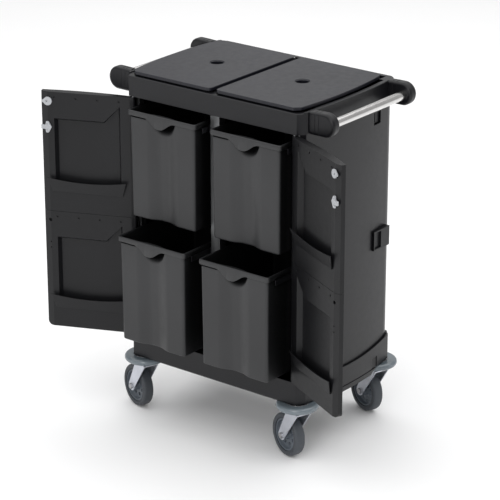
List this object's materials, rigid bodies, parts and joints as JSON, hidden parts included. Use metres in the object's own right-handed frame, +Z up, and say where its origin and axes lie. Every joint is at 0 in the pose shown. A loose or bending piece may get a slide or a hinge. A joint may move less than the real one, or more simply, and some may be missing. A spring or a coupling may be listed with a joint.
{
  "type": "housekeeping cart",
  "caption": "Enclosed housekeeping cart with hinged doors, lidded top wells, pull-out bins, tube handles at both ends and swivel casters with bumper discs.",
  "frame": {"origin": "on the floor, under the middle of the cart as it stands with both doors open", "axes": "+Z up, the doors face -Y, +X to the right for someone standing in front of the cart and looking at its doors"},
  "size_m": [1.0397, 0.5929, 1.022],
  "materials": {
    "body_plastic": "fine grained charcoal moulding",
    "door_plastic": "fine grained charcoal moulding",
    "lid_plastic": "fine grained charcoal moulding",
    "bin_plastic": "satin dark grey moulding",
    "post_metal": "light grey steel",
    "rail_steel": "dark coated steel",
    "chrome_tube": "bright polished tube",
    "pin_steel": "plain steel",
    "bumper_plastic": "blue grey bumper plastic",
    "fork_steel": "zinc plated pressed steel",
    "tyre_rubber": "dark grey rubber tread",
    "hub_plastic": "grey moulded wheel centre",
    "latch_white": "white moulded latch piece"
  },
  "bodies": {
    "cabinet": {"base_tray": "body_plastic", "top_tray": "body_plastic", "left_side_panel": "body_plastic", "right_side_panel": "body_plastic", "rear_panel": "body_plastic", "front_centre_post": "post_metal", "rear_centre_post": "post_metal", "front_left_post": "post_metal", "front_right_post": "post_metal", "rear_left_post": "post_metal", "rear_right_post": "post_metal", "fixed_rails": "rail_steel", "panel_clips": "body_plastic", "front_left_bracket": "body_plastic", "front_right_bracket": "body_plastic", "rear_left_bracket": "body_plastic", "rear_right_bracket": "body_plastic", "left_handle_tube": "chrome_tube", "right_handle_tube": "chrome_tube", "door_hinge_pins": "pin_steel", "lid_hinge_pins": "pin_steel", "body_screws": "pin_steel", "bumper_discs": "bumper_plastic", "caster_plates": "pin_steel"},
    "left_door": {"left_door_upper": "door_plastic", "left_door_lower": "door_plastic", "left_door_pockets": "door_plastic", "left_door_catch": "latch_white"},
    "left_cam": {"left_lock_cam": "latch_white"},
    "left_lid_body": {"left_lid": "lid_plastic"},
    "right_door": {"right_door_upper": "door_plastic", "right_door_lower": "door_plastic", "right_door_pockets": "door_plastic", "right_door_catch": "latch_white"},
    "right_cam": {"right_lock_cam": "latch_white"},
    "right_lid_body": {"right_lid": "lid_plastic"},
    "upper_left_runner_body": {"upper_left_runners": "rail_steel"},
    "upper_left_bin_body": {"upper_left_bin": "bin_plastic"},
    "upper_right_runner_body": {"upper_right_runners": "rail_steel"},
    "upper_right_bin_body": {"upper_right_bin": "bin_plastic"},
    "lower_left_runner_body": {"lower_left_runners": "rail_steel"},
    "lower_left_bin_body": {"lower_left_bin": "bin_plastic"},
    "lower_right_runner_body": {"lower_right_runners": "rail_steel"},
    "lower_right_bin_body": {"lower_right_bin": "bin_plastic"},
    "front_left_caster": {"front_left_fork": "fork_steel", "front_left_axle": "pin_steel"},
    "front_left_wheel": {"front_left_tyre": "tyre_rubber", "front_left_hub": "hub_plastic"},
    "front_right_caster": {"front_right_fork": "fork_steel", "front_right_axle": "pin_steel"},
    "front_right_wheel": {"front_right_tyre": "tyre_rubber", "front_right_hub": "hub_plastic"},
    "rear_left_caster": {"rear_left_fork": "fork_steel", "rear_left_axle": "pin_steel"},
    "rear_left_wheel": {"rear_left_tyre": "tyre_rubber", "rear_left_hub": "hub_plastic"},
    "rear_right_caster": {"rear_right_fork": "fork_steel", "rear_right_axle": "pin_steel"},
    "rear_right_wheel": {"rear_right_tyre": "tyre_rubber", "rear_right_hub": "hub_plastic"}
  },
  "joints": [
    {"name": "left_door_hinge", "type": "hinge", "parent": "cabinet", "child": "left_door", "pos_m": [-0.276, -0.166, 0.6], "axis": [0, 0, -1], "range_deg": [-156.5, 12]},
    {"name": "left_cam_turn", "type": "hinge", "parent": "left_door", "child": "left_cam", "pos_m": [-0.49841, -0.27143, 0.921], "axis": [0.3987, -0.9171, 0], "range_deg": [0, 90]},
    {"name": "left_lid_hinge", "type": "hinge", "parent": "cabinet", "child": "left_lid_body", "pos_m": [-0.1465, 0.236, 1.01], "axis": [-1, 0, 0], "range_deg": [0, 100]},
    {"name": "right_door_hinge", "type": "hinge", "parent": "cabinet", "child": "right_door", "pos_m": [0.276, -0.166, 0.6], "axis": [0, 0, 1], "range_deg": [-153.5, 12]},
    {"name": "right_cam_turn", "type": "hinge", "parent": "right_door", "child": "right_cam", "pos_m": [0.49258, -0.28292, 0.921], "axis": [-0.4462, -0.8949, 0], "range_deg": [0, 90]},
    {"name": "right_lid_hinge", "type": "hinge", "parent": "cabinet", "child": "right_lid_body", "pos_m": [0.1465, 0.236, 1.01], "axis": [-1, 0, 0], "range_deg": [0, 100]},
    {"name": "upper_left_runner_slide", "type": "slide", "parent": "cabinet", "child": "upper_left_runner_body", "axis": [0, -1, 0], "range_m": [-0.0895, 0.0073]},
    {"name": "upper_left_bin_slide", "type": "slide", "parent": "upper_left_runner_body", "child": "upper_left_bin_body", "axis": [0, -1, 0], "range_m": [0, 0.15]},
    {"name": "upper_right_runner_slide", "type": "slide", "parent": "cabinet", "child": "upper_right_runner_body", "axis": [0, -1, 0], "range_m": [-0.0895, 0.0075]},
    {"name": "upper_right_bin_slide", "type": "slide", "parent": "upper_right_runner_body", "child": "upper_right_bin_body", "axis": [0, -1, 0], "range_m": [0, 0.15]},
    {"name": "lower_left_runner_slide", "type": "slide", "parent": "cabinet", "child": "lower_left_runner_body", "axis": [0, -1, 0], "range_m": [-0.1665, 0.0132]},
    {"name": "lower_left_bin_slide", "type": "slide", "parent": "lower_left_runner_body", "child": "lower_left_bin_body", "axis": [0, -1, 0], "range_m": [0, 0.12]},
    {"name": "lower_right_runner_slide", "type": "slide", "parent": "cabinet", "child": "lower_right_runner_body", "axis": [0, -1, 0], "range_m": [-0.1665, 0.0135]},
    {"name": "lower_right_bin_slide", "type": "slide", "parent": "lower_right_runner_body", "child": "lower_right_bin_body", "axis": [0, -1, 0], "range_m": [0, 0.12]},
    {"name": "front_left_swivel", "type": "hinge", "parent": "cabinet", "child": "front_left_caster", "pos_m": [-0.271, -0.137, 0.15], "axis": [0, 0, 1], "continuous": true},
    {"name": "front_left_wheel_spin", "type": "hinge", "parent": "front_left_caster", "child": "front_left_wheel", "pos_m": [-0.31141, -0.12229, 0.0625], "axis": [-0.342, -0.9397, 0], "continuous": true},
    {"name": "front_right_swivel", "type": "hinge", "parent": "cabinet", "child": "front_right_caster", "pos_m": [0.271, -0.137, 0.15], "axis": [0, 0, 1], "continuous": true},
    {"name": "front_right_wheel_spin", "type": "hinge", "parent": "front_right_caster", "child": "front_right_wheel", "pos_m": [0.23059, -0.12229, 0.0625], "axis": [-0.342, -0.9397, 0], "continuous": true},
    {"name": "rear_left_swivel", "type": "hinge", "parent": "cabinet", "child": "rear_left_caster", "pos_m": [-0.271, 0.237, 0.15], "axis": [0, 0, 1], "continuous": true},
    {"name": "rear_left_wheel_spin", "type": "hinge", "parent": "rear_left_caster", "child": "rear_left_wheel", "pos_m": [-0.31141, 0.25171, 0.0625], "axis": [-0.342, -0.9397, 0], "continuous": true},
    {"name": "rear_right_swivel", "type": "hinge", "parent": "cabinet", "child": "rear_right_caster", "pos_m": [0.271, 0.237, 0.15], "axis": [0, 0, 1], "continuous": true},
    {"name": "rear_right_wheel_spin", "type": "hinge", "parent": "rear_right_caster", "child": "rear_right_wheel", "pos_m": [0.23059, 0.25171, 0.0625], "axis": [-0.342, -0.9397, 0], "continuous": true}
  ],
  "couplings": [
    {"joint": "upper_left_runner_slide", "follows": "left_door_hinge", "m_per_rad": 0.032584},
    {"joint": "upper_right_runner_slide", "follows": "right_door_hinge", "m_per_rad": 0.03322},
    {"joint": "lower_left_runner_slide", "follows": "left_door_hinge", "m_per_rad": 0.060774},
    {"joint": "lower_right_runner_slide", "follows": "right_door_hinge", "m_per_rad": 0.061962}
  ]
}
